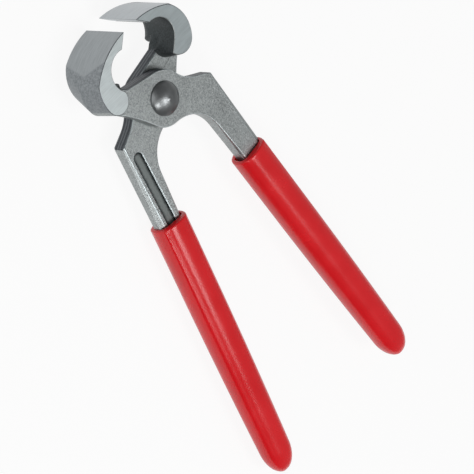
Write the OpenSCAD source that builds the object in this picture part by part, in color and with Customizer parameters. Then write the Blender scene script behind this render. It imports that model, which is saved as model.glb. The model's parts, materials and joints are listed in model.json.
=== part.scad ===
// End cutting nippers. Two like forged halves cross and turn on one domed rivet,
// and each handle has a dipped sleeve. The tool lies flat on the ground sides of its
// jaws. X runs along it towards the cutting edges, Y across it and Z through it.
// The origin is under the middle of the tool.
// A half is drawn closed, with the rivet's axis at its own origin, its jaw on the
// +Y side, its handle on the -Y side and its joint plate just above Z = 0.

/* [Whole tool] */
// Reach of the cutting edge beyond the rivet
tip_reach = 39.4; // [37.5:0.1:42]
// Reach of the grip's end behind the rivet
handle_reach = 186; // [160:1:220]
// Angle that the halves are opened by, from closed
opening_angle = 12; // [0:0.5:40]

/* [Joint] */
// Radius of the round boss about the rivet
boss_r = 12.5; // [11.5:0.1:14]
// Thickness of each half's joint plate and lever
plate_t = 6.6; // [5.5:0.1:8]
// Gap between the two joint plates
lap_gap = 0.1; // [0.04:0.02:0.3]
// Where the neck's inner edge leaves the boss, as an angle
neck_angle = -17.4; // [-20:0.2:-15]
// How far beyond the jaw's root the neck's inner edge turns
neck_corner_rise = 1.8; // [1.2:0.1:2.4]
// Radius of the hollow curve of the neck's outer edge
neck_back_r = 80; // [60:1:200]

/* [Jaw] */
// Width of the jaws and the cutting edges
jaw_width = 25.6; // [22:0.2:30]
// Distance of the outer round's centre from the tool's middle, on the plate's side
outer_aside = 10.6; // [10:0.1:11.2]
// Radius of the jaw's outer round at the plate's side face
outer_r = 17.4; // [17.2:0.1:19]
// How far the parting ridge stands out beyond that face
ridge_rise = 0.7; // [0.3:0.1:1.2]
// Distance of the outer round's centre from the tool's middle, on the far side
far_outer_aside = 8.5; // [8:0.1:9]
// Radius of the jaw's outer round at the far side face
far_outer_r = 15.3; // [15:0.1:16.5]
// Distance from the rivet to the back of the hollow, at the plate's side face
hollow_back = 16.6; // [16.2:0.1:17.4]
// Distance from the front of the hollow to the cutting edge, at that face
hollow_wall = 4.2; // [4:0.1:5]
// Distance of the hollow's centre from the tool's middle, at that face
hollow_aside = 8.6; // [8.2:0.1:9]
// Distance from the rivet to the back of the hollow, at the far side face
far_hollow_back = 18.8; // [18.2:0.1:19.4]
// Distance from the front of the hollow to the cutting edge, at that face
far_hollow_wall = 4.6; // [4.2:0.1:5.2]
// Distance of the hollow's centre from the tool's middle, at that face
far_hollow_aside = 7.2; // [6.8:0.1:7.6]
// How far the far side of the hollow opens out towards the rivet
hollow_opening = 5; // [4:0.1:5.4]
// Angle that it opens out at
hollow_opening_angle = 216; // [212:1:220]
// Chamfer round the hollow's edge under the rear jaw
rear_relief = 1.3; // [0.5:0.1:1.6]
// Depth of that chamfer
rear_relief_d = 3; // [2:0.1:4]
// Radius of the bulb that ends the jaw, on the plate's side
bulb_r = 5.8; // [5:0.1:6]
// Place of the bulb on the outer round, as an angle
bulb_angle = 98.8; // [96:0.2:101]
// Radius of the bulb at the far side face
far_bulb_r = 7.2; // [6.8:0.1:7.4]
// Place of the far bulb on its outer round, as an angle
far_bulb_angle = 115; // [112:0.5:118]
// Radius of the jaw's root, where it stands on the joint plate
root_r = 7.9; // [7.4:0.1:8.2]
// Distance of the root's centre behind the bulb's
root_behind = 2; // [1.4:0.1:2.4]
// Distance of the root's centre from the tool's middle
root_aside = 18; // [17.6:0.1:18.4]
// Radius of the ground face behind the cutting edge
ground_r = 34.6; // [32:0.2:40]
// How far the ground face's centre lies to the jaw's side
ground_offset = 3; // [2:0.1:5]
// Distance of the inner bevel's foot behind the cutting edge
bevel_foot_behind = 4.6; // [4:0.1:4.8]
// Distance of that foot from the tool's middle
bevel_foot_aside = 5.4; // [5:0.1:6]
// Width of the flat that the cutting edge is honed to
edge_land = 0.25; // [0.1:0.05:0.5]
// Gap between the cutting edges when closed
edge_gap = 0.2; // [0.1:0.05:0.6]

/* [Lever] */
// Distance of the shoulder's corner behind the rivet
shoulder_behind = 9.8; // [9.2:0.1:10.6]
// Distance of that corner from the tool's middle
shoulder_aside = 25.8; // [25.4:0.1:26.4]
// Rise of the shoulder's edge, as an angle
shoulder_angle = -123; // [-128:0.5:-118]
// Rounding of the shoulder's corner
shoulder_round = 1.4; // [0.6:0.1:2.4]
// Radius of the hollow curves between the boss and the lever
fillet_r = 18; // [16:0.2:20]
// Distance from the rivet to the mouth of the grip
mouth_reach = 51; // [46:0.5:60]
// Distance from the tool's middle to the lever's outer edge at the mouth
mouth_outer = 26; // [25.4:0.1:26.6]
// Width of the lever at the mouth
mouth_width = 12.3; // [11:0.1:13.4]
// How much the lever widens from the mouth to the shoulder
lever_spread = 0.9; // [0:0.1:1.6]
// Width of the tang's end, inside the grip
tang_end_w = 8; // [6:0.1:10]
// Distance from the tang's end to the grip's end
tang_inset = 9; // [6:0.5:14]
// Width of the bevel along the lever's outer edges, at the mouth
bevel_w = 2; // [1:0.1:2.4]
// Width of that bevel at the shoulder
bevel_shoulder_w = 0.6; // [0.2:0.1:0.9]
// Depth of that bevel
bevel_d = 1.5; // [0.8:0.1:2]
// Size at the mouth of the bevel along the lever's inner edges
inner_bevel = 0.9; // [0.3:0.1:1.2]
// Width of the sunk panel in the lever's lap side
panel_w = 4.8; // [3.6:0.1:6]
// Depth of the sunk panel
panel_depth = 0.7; // [0.4:0.1:1.2]
// Distance of the panel's round end behind the rivet
panel_behind = 17.4; // [16:0.2:20]
// Distance of that end from the tool's middle
panel_aside = 20.6; // [20:0.1:21.4]
// Distance from the tool's middle to the panel at the mouth
panel_mouth_offset = 19.4; // [18.8:0.1:20]

/* [Rivet] */
// Radius of the rivet's shank
shank_r = 4.5; // [3.5:0.1:5.5]
// Radius of the domed head
head_r = 7.6; // [7:0.1:9]
// Height of the head's upright rim
head_rim = 0.6; // [0.3:0.1:1.2]
// Height of the head's dome above its rim
head_dome = 3.1; // [2.4:0.1:3.8]
// Radius of the small nib at the top of the dome
nib_r = 1.1; // [0.7:0.1:1.6]
// Height of that nib
nib_height = 0.35; // [0.2:0.05:0.6]
// Radius of the headed-over end
tail_r = 7; // [6:0.1:8]
// Height of the headed-over end
tail_dome = 2.2; // [1.6:0.1:3]
// Running clearance about the shank in the front half, on the radius
running_gap = 0.05; // [0.02:0.01:0.1]
// Seating clearance about the shank in the rear half, on the radius
seat_gap = 0.02; // [0.01:0.01:0.05]
// End play under the head
end_play = 0.05; // [0.02:0.01:0.1]

/* [Grip] */
// Distance from the tool's middle to the grip's centre line at its mouth
grip_offset = 19.1; // [18.9:0.1:19.6]
// How much further out the grip's end lies
grip_lean = 2; // [1:0.1:3]
// Width of the grip at its fullest
grip_w = 16.7; // [16:0.1:18]
// Thickness of the grip at its fullest
grip_t = 14.1; // [13:0.1:16]
// Width of the grip at its mouth
grip_mouth_w = 16.8; // [16.4:0.1:17.6]
// Thickness of the grip at its mouth
grip_mouth_t = 14.2; // [12:0.1:15]
// Width of the grip where its round end starts
grip_end_w = 14.6; // [14:0.1:17]
// Thickness of the grip where its round end starts
grip_end_t = 12.3; // [11:0.1:15]
// Length behind the mouth before the grip starts to taper
taper_start = 32; // [10:1:50]
// Length of the round end
end_dome = 13; // [9:0.5:20]
// Rounding of the mouth's outer edge
mouth_round = 0.8; // [0.4:0.1:1.2]
// Gap between the lever and the grip inside the mouth
mouth_gap = 0.7; // [0.4:0.1:1]
// Depth of that gap
mouth_gap_depth = 2; // [1:0.1:4]

/* [Hidden] */

// Amount that cuts run past the faces they pass through
overrun = 5;
// Counts of facets: on curved cuts, on hulled rounds, round a grip and along it
$fn = 96;
hull_facets = 48;
// Thickness of the thin slices that a hull joins
slice_h = 0.2;
// Radius of the small round where the neck's inner edge turns
edge_round = 0.5;
grip_sides = 36;
grip_rings = 16;
dome_rings = 8;
// How square the grip's section is, as the power of its curve
grip_power = 2.4;
// Last angle of the round end, which leaves a small flat there
dome_last_angle = 86;
quarter_turn = 90;
half_turn = 180;
full_turn = 360;

half_width = jaw_width / 2;
half_opening = opening_angle / 2;
handle_centre = grip_offset + grip_lean;
// The middle of the tool lies between the cutting edges and the ends of the grips
pivot_x = ((handle_reach - tip_reach) * cos(half_opening) - handle_centre * sin(half_opening)) / 2;
pivot_z = half_width;
grip_length = handle_reach - mouth_reach;
grip_z = (lap_gap / 2 + plate_t) / 2;
steel_colour = [0.55, 0.56, 0.57];
rivet_colour = [0.33, 0.33, 0.34];
grip_colour = [0.85, 0.07, 0.08];

// Unit vector at an angle, and a vector turned a quarter to the left
function unit(angle) = [cos(angle), sin(angle)];
function left_of(v) = [-v.y, v.x];
function direction(from, to) = (to - from) / norm(to - from);
function with_z(p, z) = [p.x, p.y, z];
// Centre of the round that touches the boss and the line through p along u,
// with its centre on the side of the line that n points to
function fillet_centre(p, u, n) =
    let (q = p + fillet_r * n, k = q * u)
    q + u * (sqrt(k * k - q * q + pow(boss_r + fillet_r, 2)) - k);
// Point at given distances from the rivet and from p, to the left of the line to p
function touching_both(p, from_rivet, from_p) =
    let (d = norm(p), along = (from_rivet * from_rivet - from_p * from_p + d * d) / (2 * d))
    (along * p + sqrt(from_rivet * from_rivet - along * along) * left_of(p)) / d;
function on_boss(centre) = centre * boss_r / (boss_r + fillet_r);
function smooth(x) = let (t = max(0, min(1, x))) t * t * (3 - 2 * t);
function mix(from, to, share) = from + (to - from) * share;

// Points of the jaw's side outlines
outer_centre = [tip_reach - outer_r, outer_aside];
far_outer_centre = [tip_reach - far_outer_r, far_outer_aside];
hollow_r = (tip_reach - hollow_wall - hollow_back) / 2;
hollow_centre = [hollow_back + hollow_r, hollow_aside];
far_hollow_r = (tip_reach - far_hollow_wall - far_hollow_back) / 2;
far_hollow_centre = [far_hollow_back + far_hollow_r, far_hollow_aside];
bulb_centre = outer_centre + (outer_r - bulb_r) * unit(bulb_angle);
far_bulb_centre = far_outer_centre + (far_outer_r - far_bulb_r) * unit(far_bulb_angle);
root_centre = [bulb_centre.x - root_behind, root_aside];
bevel_foot = [tip_reach - bevel_foot_behind, bevel_foot_aside];
ridge_r = outer_r + ridge_rise;
ridge_bulb_r = bulb_r + ridge_rise;
// Length that reaches past the jaw from any point in it
past_jaw = 2 * ground_r;

// Points of the lever's outline
shoulder_corner = [-shoulder_behind, -shoulder_aside];
panel_start = [-panel_behind, -panel_aside];
mouth_out = [-mouth_reach, -mouth_outer];
mouth_in = [-mouth_reach, mouth_width - mouth_outer];
spread_in = mouth_in + [mouth_reach + shoulder_corner.x, lever_spread];
tang_end_x = tang_inset - handle_reach;
tang_out = [tang_end_x, -handle_centre - tang_end_w / 2];
tang_in = [tang_end_x, tang_end_w / 2 - handle_centre];
shoulder_dir = unit(shoulder_angle);
inner_dir = direction(spread_in, mouth_in);
outer_dir = direction(shoulder_corner, mouth_out);
outer_back = -outer_dir;
outer_fillet = fillet_centre(shoulder_corner, shoulder_dir, left_of(shoulder_dir));
inner_fillet = fillet_centre(mouth_in, inner_dir, -left_of(inner_dir));
outer_fillet_foot = outer_fillet - fillet_r * left_of(shoulder_dir);
inner_fillet_foot = inner_fillet + fillet_r * left_of(inner_dir);
// The shoulder's corner is rounded about a point inside it
corner_turn = acos(shoulder_dir * outer_dir);
corner_setback = shoulder_round * tan(corner_turn / 2);
corner_first = shoulder_corner - corner_setback * shoulder_dir;
corner_centre = corner_first - shoulder_round * left_of(shoulder_dir);
corner_steps = 6;
corner_from = shoulder_angle + quarter_turn;
corner_points = [for (i = [0:corner_steps])
    corner_centre + shoulder_round * unit(corner_from - corner_turn * i / corner_steps)];

// Points of the neck between the boss and the jaw
neck_normal = unit(neck_angle);
neck_foot = boss_r * neck_normal;
neck_dir = left_of(neck_normal);
neck_head = neck_foot + neck_dir * (bulb_centre.y - neck_foot.y) / neck_dir.y;
// The neck's inner edge turns there to run to the bulb
neck_corner = neck_foot + neck_dir * (root_centre.y - root_r + neck_corner_rise - neck_foot.y) / neck_dir.y;
back_centre = touching_both(bulb_centre, boss_r + neck_back_r, bulb_r + neck_back_r);

// Outline of a half's joint plate, neck, lever and tang
module lever_outline() {
    circle(r = boss_r);
    difference() {
        polygon([[0, 0], neck_foot, neck_head, bulb_centre,
            bulb_centre + bulb_r * direction(bulb_centre, back_centre),
            boss_r * direction([0, 0], back_centre)]);
        translate(back_centre) circle(r = neck_back_r);
    }
    hull() {
        translate(neck_corner - edge_round * neck_normal) circle(r = edge_round);
        translate(bulb_centre) circle(r = bulb_r);
    }
    difference() {
        polygon(concat([[0, 0], on_boss(outer_fillet), outer_fillet_foot], corner_points,
            [mouth_out, tang_out, tang_in, mouth_in, inner_fillet_foot, on_boss(inner_fillet)]));
        translate(outer_fillet) circle(r = fillet_r);
        translate(inner_fillet) circle(r = fillet_r);
    }
}

// Long wedge that takes the corner off an edge from one point to another
module edge_wedge(from, to, width, depth) {
    translate(with_z(from, 0))
        rotate([0, 0, atan2(to.y - from.y, to.x - from.x)])
            rotate([quarter_turn, 0, quarter_turn])
                linear_extrude(norm(to - from) + overrun)
                    polygon([[width, 0], [-overrun, 0], [-overrun, depth], [0, depth]]);
}

// Wedges on both faces of the lever along one of its edges
module both_faces() {
    translate([0, 0, plate_t]) mirror([0, 0, 1]) children();
    translate([0, 0, lap_gap / 2]) children();
}

// The outer bevel narrows to the shoulder, and the inner one to nothing at the fillet
module bevels() {
    both_faces()
        edge_wedge(mouth_out - mouth_gap_depth * outer_back,
            shoulder_corner - (bevel_w - bevel_shoulder_w) * left_of(outer_back), bevel_w, bevel_d);
    both_faces()
        edge_wedge(inner_fillet_foot - inner_bevel * left_of(inner_dir),
            mouth_in + mouth_gap_depth * inner_dir, inner_bevel, inner_bevel);
}

// Sunk panel with a round end, in the lap side of the lever
module panel() {
    panel_end = [-mouth_reach - mouth_gap_depth, -panel_mouth_offset];
    translate([0, 0, lap_gap / 2 - overrun]) linear_extrude(panel_depth + overrun) {
        translate(panel_start) circle(d = panel_w);
        translate(panel_start)
            rotate(atan2(panel_end.y - panel_start.y, panel_end.x - panel_start.x))
                translate([0, -panel_w / 2]) square([norm(panel_end - panel_start), panel_w]);
    }
}

module lever_bar() {
    difference() {
        translate([0, 0, lap_gap / 2]) linear_extrude(plate_t - lap_gap / 2) lever_outline();
        bevels();
        panel();
    }
}

// Side region within the ground face and on the jaw's side of the cutting edges
module within_edge() {
    intersection() {
        translate([0, edge_gap / 2]) square(past_jaw);
        translate([tip_reach - sqrt(pow(ground_r, 2) - pow(ground_offset, 2)), ground_offset])
            circle(r = ground_r);
    }
}

// Side region beyond a line at an angle through the outer round's centre
module beyond(centre, angle) {
    polygon([centre - [0, past_jaw], centre, centre + past_jaw * unit(angle),
        centre + [past_jaw, past_jaw], centre + [past_jaw, -past_jaw]]);
}

// Straight block that carries the outer round on to the cutting edge
module tip_block(centre) {
    translate([centre.x, 0]) square([tip_reach, centre.y]);
}

// Cone from one centre and radius to another, run on past both
module cone_cut(from, from_r, to, to_r) {
    axis = to - from;
    length = norm(axis);
    slope = (to_r - from_r) / length;
    translate(from)
        rotate([0, acos(axis.z / length), atan2(axis.y, axis.x)])
            translate([0, 0, -overrun])
                cylinder(h = length + 2 * overrun, r1 = from_r - slope * overrun,
                    r2 = to_r + slope * overrun);
}

// Half of the jaw on the plate's side, drafted a little inward from the ridge
module near_jaw() {
    translate(with_z(bulb_centre, 0)) cylinder(h = half_width, r1 = ridge_bulb_r, r2 = bulb_r);
    intersection() {
        linear_extrude(half_width) intersection() {
            within_edge();
            beyond(outer_centre, bulb_angle);
        }
        union() {
            translate(with_z(outer_centre, 0)) cylinder(h = half_width, r1 = ridge_r, r2 = outer_r);
            linear_extrude(half_width) tip_block(outer_centre);
        }
    }
}

// Thin slice of the jaw's round outside, which runs smoothly into its bulb
module slice(centre, r, bulb, bulb_radius, angle, z) {
    translate([0, 0, z]) linear_extrude(slice_h) {
        intersection() {
            translate(centre) circle(r = r, $fn = hull_facets);
            beyond(centre, angle);
            translate([0, far_outer_centre.y]) square(past_jaw);
        }
        translate(bulb) circle(r = bulb_radius, $fn = hull_facets);
    }
}

// Half of the jaw on the far side, drafted more steeply from the ridge, with the
// root that stands on the joint plate
module far_jaw() {
    intersection() {
        translate([0, 0, -half_width]) linear_extrude(half_width) within_edge();
        union() {
            hull() {
                slice(outer_centre, ridge_r, bulb_centre, ridge_bulb_r, bulb_angle, -slice_h);
                translate(with_z(root_centre, -slice_h))
                    cylinder(h = slice_h, r = root_r, $fn = hull_facets);
                slice(far_outer_centre, far_outer_r, far_bulb_centre, far_bulb_r, far_bulb_angle,
                    -half_width);
            }
            translate([0, 0, -half_width]) linear_extrude(half_width) tip_block(far_outer_centre);
        }
    }
}

// Opening of the hollow's far side towards the rivet, which closes to nothing at the plate
module hollow_opening_cut() {
    hull() {
        for (shift = [0, hollow_opening])
            translate(with_z(far_hollow_centre + shift * unit(hollow_opening_angle), -half_width - 1))
                cylinder(h = 1, r = far_hollow_r, $fn = hull_facets);
        translate(with_z((hollow_centre + far_hollow_centre) / 2, -2 * slice_h))
            cylinder(h = slice_h, r = (hollow_r + far_hollow_r) / 2 - 2 * slice_h, $fn = hull_facets);
    }
}

// Bevel from the cutting edge down to the hollow, on the inside
module inner_bevel_cut() {
    edge = [tip_reach - edge_land, edge_gap / 2];
    translate([0, 0, -half_width - overrun])
        linear_extrude(jaw_width + 2 * overrun)
            polygon([edge, bevel_foot, hollow_centre, [outer_centre.x - overrun, -overrun],
                [edge.x, -overrun]]);
}

// One forging: jaw, neck, joint plate, lever and tang in one piece
module forging(bore_r, relief) {
    difference() {
        union() {
            lever_bar();
            near_jaw();
            far_jaw();
        }
        cone_cut(with_z(far_hollow_centre, -half_width), far_hollow_r,
            with_z(hollow_centre, half_width), hollow_r);
        hollow_opening_cut();
        if (relief > 0)
            cone_cut(with_z(hollow_centre, half_width - rear_relief_d), hollow_r,
                with_z(hollow_centre, half_width), hollow_r + relief);
        inner_bevel_cut();
        translate([0, 0, -overrun]) cylinder(h = plate_t + 2 * overrun, r = bore_r);
    }
}

// Domed disc of a given radius and height on the plane Z = 0
module dome(r, height) {
    sphere_r = (r * r + height * height) / (2 * height);
    intersection() {
        translate([0, 0, height - sphere_r]) sphere(r = sphere_r);
        cylinder(h = height, r = r);
    }
}

module rivet() {
    head_z = plate_t + end_play;
    translate([0, 0, -plate_t]) cylinder(h = plate_t + head_z, r = shank_r);
    translate([0, 0, head_z]) cylinder(h = head_rim, r = head_r);
    translate([0, 0, head_z + head_rim]) dome(head_r, head_dome);
    translate([0, 0, head_z + head_rim + head_dome - nib_height])
        dome(nib_r, 2 * nib_height);
    translate([0, 0, -plate_t]) mirror([0, 0, 1]) dome(tail_r, tail_dome);
}

// Half width, half thickness and centre of the grip at a distance behind its mouth
dome_start = grip_length - end_dome;
function end_share(d) = d <= dome_start ? 1 : sqrt(1 - pow((d - dome_start) / end_dome, 2));
function lip_share(d) = 1 - mouth_round / grip_w * (1 - smooth(d / mouth_round));
function full_size(mouth, full, last, d) =
    d < taper_start ? mix(mouth, full, d / taper_start)
    : mix(full, last, pow(min(1, (d - taper_start) / (dome_start - taper_start)), 2));
function grip_half_w(d) = end_share(d) * lip_share(d) * full_size(grip_mouth_w, grip_w, grip_end_w, d) / 2;
function grip_half_t(d) = end_share(d) * lip_share(d) * full_size(grip_mouth_t, grip_t, grip_end_t, d) / 2;
function grip_y(d) = -grip_offset - grip_lean * d / grip_length;
function powered(x) = sign(x) * pow(abs(x), 2 / grip_power);

grip_stations = concat([0, mouth_round / 2, mouth_round],
    [for (i = [1:grip_rings]) mix(mouth_round, dome_start, i / grip_rings)],
    [for (i = [1:dome_rings]) dome_start + end_dome * sin(dome_last_angle * i / dome_rings)]);
grip_points = [for (d = grip_stations, k = [0:grip_sides - 1])
    let (angle = full_turn * k / grip_sides)
    [-mouth_reach - d, grip_y(d) + grip_half_w(d) * powered(cos(angle)),
        grip_z + grip_half_t(d) * powered(sin(angle))]];
last_station = len(grip_stations) - 1;
grip_faces = concat(
    [[for (k = [grip_sides - 1:-1:0]) k]],
    [for (i = [0:last_station - 1], k = [0:grip_sides - 1])
        let (next = (k + 1) % grip_sides, base = i * grip_sides)
        [base + k, base + next, base + grip_sides + k]],
    [for (i = [0:last_station - 1], k = [0:grip_sides - 1])
        let (next = (k + 1) % grip_sides, base = i * grip_sides)
        [base + next, base + grip_sides + next, base + grip_sides + k]],
    [[for (k = [0:grip_sides - 1]) last_station * grip_sides + k]]);

// Dipped sleeve that fills the space round the tang and stands off at its mouth
module sleeve() {
    difference() {
        polyhedron(grip_points, grip_faces);
        lever_bar();
        translate([-mouth_reach - mouth_gap_depth, -mouth_outer - mouth_gap, lap_gap / 2 - mouth_gap])
            cube([mouth_gap_depth + overrun, mouth_width + 2 * mouth_gap,
                plate_t - lap_gap / 2 + 2 * mouth_gap]);
    }
}

// Places of the halves: the rear one is the front one turned over
module in_front_place() {
    translate([pivot_x, 0, pivot_z]) rotate([0, 0, half_opening]) children();
}

module in_rear_place() {
    translate([pivot_x, 0, pivot_z]) rotate([half_turn, 0, -half_opening]) children();
}

module front_lever() {
    color(steel_colour) in_front_place() forging(shank_r + running_gap, 0);
}

module rear_lever() {
    color(steel_colour) in_rear_place() forging(shank_r + seat_gap, rear_relief);
}

module pivot_rivet() {
    color(rivet_colour) translate([pivot_x, 0, pivot_z]) rivet();
}

module front_grip() {
    color(grip_colour) in_front_place() sleeve();
}

module rear_grip() {
    color(grip_colour) in_rear_place() sleeve();
}

front_lever();
rear_lever();
pivot_rivet();
front_grip();
rear_grip();
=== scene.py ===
"""End cutting nippers, laid out as an add-on: forged halves, a domed rivet, dipped grips."""
import json
import math

import bmesh
import bpy
from mathutils import Matrix, Vector


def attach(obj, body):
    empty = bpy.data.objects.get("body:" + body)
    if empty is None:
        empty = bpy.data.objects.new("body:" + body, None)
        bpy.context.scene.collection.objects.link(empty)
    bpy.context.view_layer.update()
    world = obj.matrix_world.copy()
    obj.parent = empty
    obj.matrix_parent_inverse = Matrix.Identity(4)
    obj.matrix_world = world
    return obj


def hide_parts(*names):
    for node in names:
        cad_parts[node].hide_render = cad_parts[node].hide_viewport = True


bl_info = {
    "name": "End Cutting Nippers",
    "version": (1, 0, 0),
    "blender": (4, 5, 0),
    "location": "View3D > Sidebar > Nippers",
    "description": "Dresses a packed pair of end cutting nippers in its forged and dipped finishes",
    "category": "Object",
}

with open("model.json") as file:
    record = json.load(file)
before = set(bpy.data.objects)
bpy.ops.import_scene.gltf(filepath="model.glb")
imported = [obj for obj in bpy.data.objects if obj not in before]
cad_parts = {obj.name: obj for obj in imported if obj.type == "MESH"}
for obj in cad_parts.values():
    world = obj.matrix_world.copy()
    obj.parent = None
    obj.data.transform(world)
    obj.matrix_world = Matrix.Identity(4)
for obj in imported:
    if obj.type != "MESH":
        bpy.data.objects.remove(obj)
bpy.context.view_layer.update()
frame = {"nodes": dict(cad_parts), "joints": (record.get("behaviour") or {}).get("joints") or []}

MM = 0.001
HINGE = next(j for j in frame["joints"] if j["name"] == "pivot_hinge")
PIVOT = Vector(HINGE["pos_m"])
HALF_OPENING = math.radians(6)

# Each half is forged closed, with the rivet's axis at its own origin, and then placed
FRONT_PLACE = Matrix.Translation(PIVOT) @ Matrix.Rotation(HALF_OPENING, 4, "Z")
REAR_PLACE = (Matrix.Translation(PIVOT) @ Matrix.Rotation(-HALF_OPENING, 4, "Z")
              @ Matrix.Rotation(math.pi, 4, "X"))

# The same turns, as the rotations that a material or a modifier takes
FRONT_TURN = (0.0, 0.0, HALF_OPENING)
REAR_TURN = (math.pi, 0.0, -HALF_OPENING)

# Sizes of the forging as it is made, in its own closed place, in millimetres
JAW_HALF_WIDTH = 12.8
TIP_REACH = 39.4
GROUND_R = 34.6
GROUND_OFFSET = 3.0
GROUND_CENTRE = Vector((TIP_REACH - math.sqrt(GROUND_R ** 2 - GROUND_OFFSET ** 2), GROUND_OFFSET))
NEAR_HOLLOW = (Vector((25.9, 8.6)), 9.3)
FAR_HOLLOW = (Vector((26.8, 7.2)), 8.0)
PANEL_END = Vector((-17.4, -20.6))
PANEL_SLOPE = 0.0337
PANEL_HALF_WIDTH = 2.4
PANEL_FLOOR = 0.75
LAP_FACE = 0.05
PLATE_T = 6.6

# Where one finish of the forging gives way to the next, in millimetres ahead of the rivet
# and out from the tool's middle
ROOT_FROM = 12
HOLLOW_FROM = 14
INSIDE_FROM = 15
NECK_TO = 19
OUTSIDE_FROM = 20
EDGE_FROM = 30
MOUTH_ASIDE = 8
PANEL_FROM = -14.5

# How near to a face, a wall or a ground arc a point still counts as on it, in millimetres
ON_FACE = 0.05
ON_WALL = 0.35
ON_GROUND = 0.12
ON_PANEL = 0.1

# The ground band on a jaw's outside ends in a point, from which its two sides slope away
BAND_POINT_Z = 1.5
BAND_SLOPES = (0.557, -0.259)
BAND_ENDS = (21.4, 22.3)

# Clean-up of the CAD mesh, and the angles up to which an edge is shaded smooth
WELD = 0.002 * MM
SAME_PLANE = math.radians(0.5)
FORGED_CREASE = math.radians(24)
RIVET_CREASE = math.radians(40)

# Depth of a plate's rim, bright as wear and painted highlight, and of a jaw's painted-shade edge
# line, over their widths
PLATE_RIM_DROP = 0.6
SHADE_LINE_DROP = 0.7

# Profile of the rivet from the top of its nib to its headed-over end, in millimetres
END_PLAY = 0.05
HEAD_Z = PLATE_T + END_PLAY
HEAD_R = 7.6
HEAD_RIM = 0.6
HEAD_DOME = 3.1
RIM_WIDTH = 0.35
RIM_ROUND = 0.3
RIM_DROP = 0.25
RIM_CHAMFER = 0.12
RIM_ANGLES = (30, 50, 70, 90)
NIB_R = 0.8
NIB_HEIGHT = 0.22
SHANK_R = 4.5
TAIL_R = 7.0
TAIL_DOME = 2.2

# Rule of the grip, in millimetres: where it starts, how it leans and where it tapers
MOUTH_REACH = 51.0
GRIP_LENGTH = 135.0
GRIP_OFFSET = 19.1
GRIP_LEAN = 2.0
GRIP_Z = (LAP_FACE + PLATE_T) / 2
GRIP_MOUTH_W = 16.8
GRIP_W = 16.7
GRIP_END_W = 14.6
GRIP_THICKNESS_SHARE = 0.845
TAPER_START = 32.0
END_DOME = 13.0
LIP_DEPTH = 0.9
LIP_SIDE = 0.8
LIP_TOP = 1.7
MOUTH_LEVER_W = 12.3
MOUTH_GAP = 0.6
GAP_DEPTH = 2.2
GRIP_POWER = 2.4
MOUTH_POWER = 0.5
RIDGE = 0.3
RIDGE_FADE = 60.0
RIDGE_SPREAD = 0.011
RIDGE_ANGLE = 2.46

# Shares of the tube's run where the gap, the lip's end face, the lip and the body end
GAP_RUN, FACE_RUN, LIP_RUN, BODY_RUN = 0.03, 0.055, 0.1, 0.87

# The camera's axes and where it stands, in metres
CAMERA_RIGHT = Vector((-0.45604945, -0.61115924, 0.64691829))
CAMERA_UP = Vector((0.75533276, -0.65021649, -0.08179816))
CAMERA_BACK = Vector((0.47062865, 0.45133457, 0.75815947))
CAMERA_EYE = Vector((0.58919996, 0.57171546, 0.97175298))

# Each lamp's name, direction, distance and size in metres, and how bright it shows
LAMPS = (("main_box", (-0.2715, -0.0479, 0.9613), 1.3, 0.56, 6.2),
         ("small_box", (-0.2, 0.54, 0.81), 1.2, 0.3, 13.0),
         ("front_fill", (0.5, 0.62, 0.55), 1.5, 1.35, 1.1))
LAMP_TARGET = Vector((0.0, 0.0, 0.01))
BEHIND = (-0.5, -0.866, 0.0)
FLOOR_GLOW = 0.9
FLOOR_REACH = 12.0


def linear(colour):
    """Turns an sRGB colour written as hex into the linear colour that a shader takes."""
    channels = [int(colour[i:i + 2], 16) / 255 for i in (1, 3, 5)]
    return tuple(c / 12.92 if c <= 0.04045 else ((c + 0.055) / 1.055) ** 2.4
                 for c in channels) + (1.0,)


def add(tree, kind, fields=None, values=None, links=None):
    """Adds a node with its settings, its sockets' values and its links from other nodes."""
    node = tree.nodes.new(kind)
    for name, value in (fields or {}).items():
        setattr(node, name, value)
    for socket, value in (values or {}).items():
        node.inputs[socket].default_value = value
    for socket, (source, output) in (links or {}).items():
        tree.links.new(source.outputs[output], node.inputs[socket])
    return node


def grains(size, detail, roughness=0.5):
    """Values of a noise whose grains are this many millimetres across."""
    return {"Scale": 1 / (size * MM), "Detail": detail, "Roughness": roughness}


def across_noise(low, high, swing=0.2):
    """Values of a range from low to high over a noise that swings this far from its middle."""
    return {"From Min": 0.5 - swing, "From Max": 0.5 + swing, "To Min": low, "To Max": high}


def set_stops(node, *stops):
    """Sets a ramp's stops from its first to its last, each as a place and an sRGB colour."""
    ramp = node.color_ramp
    for element, (place, colour) in zip(ramp.elements, (stops[0], stops[-1])):
        element.position = place
        element.color = linear(colour)
    for place, colour in stops[1:-1]:
        ramp.elements.new(place).color = linear(colour)


def new_material(name):
    """Starts an empty node material and returns it with its tree."""
    material = bpy.data.materials.new(name)
    material.use_nodes = True
    material.node_tree.nodes.clear()
    return material, material.node_tree


def shade(tree, relief, strength, depth, values, links):
    """Ends a material: the bump of a relief this many millimetres deep, shader and output."""
    bump = add(tree, "ShaderNodeBump", values={"Strength": strength, "Distance": depth * MM},
               links={"Height": (relief, "Fac")})
    shader = add(tree, "ShaderNodeBsdfPrincipled", values=values,
                 links={**links, "Normal": (bump, "Normal")})
    add(tree, "ShaderNodeOutputMaterial", links={"Surface": (shader, "BSDF")})


def forged_place(tree, turn):
    """Coordinates of a half as it is forged, closed and with the rivet's axis at the origin."""
    place = add(tree, "ShaderNodeTexCoord")
    return add(tree, "ShaderNodeMapping", {"vector_type": "TEXTURE"},
               {"Location": PIVOT, "Rotation": turn}, {"Vector": (place, "Object")})


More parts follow.
